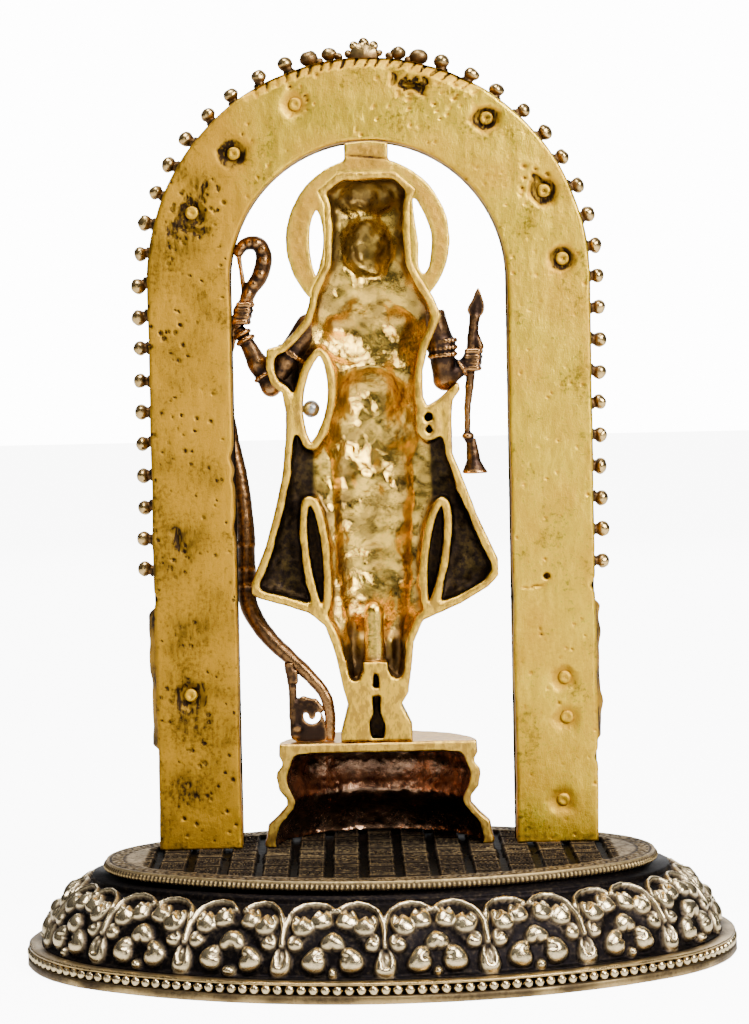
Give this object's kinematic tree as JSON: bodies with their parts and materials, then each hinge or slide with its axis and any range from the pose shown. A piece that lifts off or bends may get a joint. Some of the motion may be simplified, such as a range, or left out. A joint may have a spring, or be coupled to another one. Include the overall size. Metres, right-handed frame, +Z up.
{
  "type": "standing figure statue with arch",
  "caption": "Cast brass standing figure with bow and arrow under a round-headed arch, on a low oval base with flower relief.",
  "frame": {"origin": "middle of the base's foot, on the surface that it stands on", "axes": "+Z up, the figure faces -Y, the long axis of the base lies along X"},
  "size_m": [0.11, 0.078, 0.1424],
  "materials": {
    "filed_brass": "flat filed golden brass, pitted",
    "cast_brass": "glossy golden cast brass",
    "antique_brass": "relief with dark patina in its recesses and bright high points",
    "dark_brass": "dark brown patina",
    "copper_brass": "coppery brown cast surface",
    "plate_brass": "engraved plate with dark lines",
    "steel": "plain zinc-plated steel"
  },
  "bodies": {
    "root": {"foot_ring": "filed_brass", "bead_strip": "antique_brass", "base_skirt": "antique_brass", "top_plate": "plate_brass", "rim_wire": "antique_brass", "arch_frame": "filed_brass", "arch_mouldings": "antique_brass", "arch_knobs": "antique_brass", "crest": "antique_brass", "rosettes": "antique_brass", "rivets": "filed_brass", "arch_studs": "steel", "arch_washers": "steel", "arch_nuts": "steel", "lotus_pedestal": "copper_brass", "figure": "cast_brass", "halo": "filed_brass", "bow_arm": "dark_brass", "arrow_arm": "dark_brass", "bow": "dark_brass", "bow_bracket": "dark_brass", "arrow": "dark_brass", "side_bead": "antique_brass"}
  },
  "joints": []
}
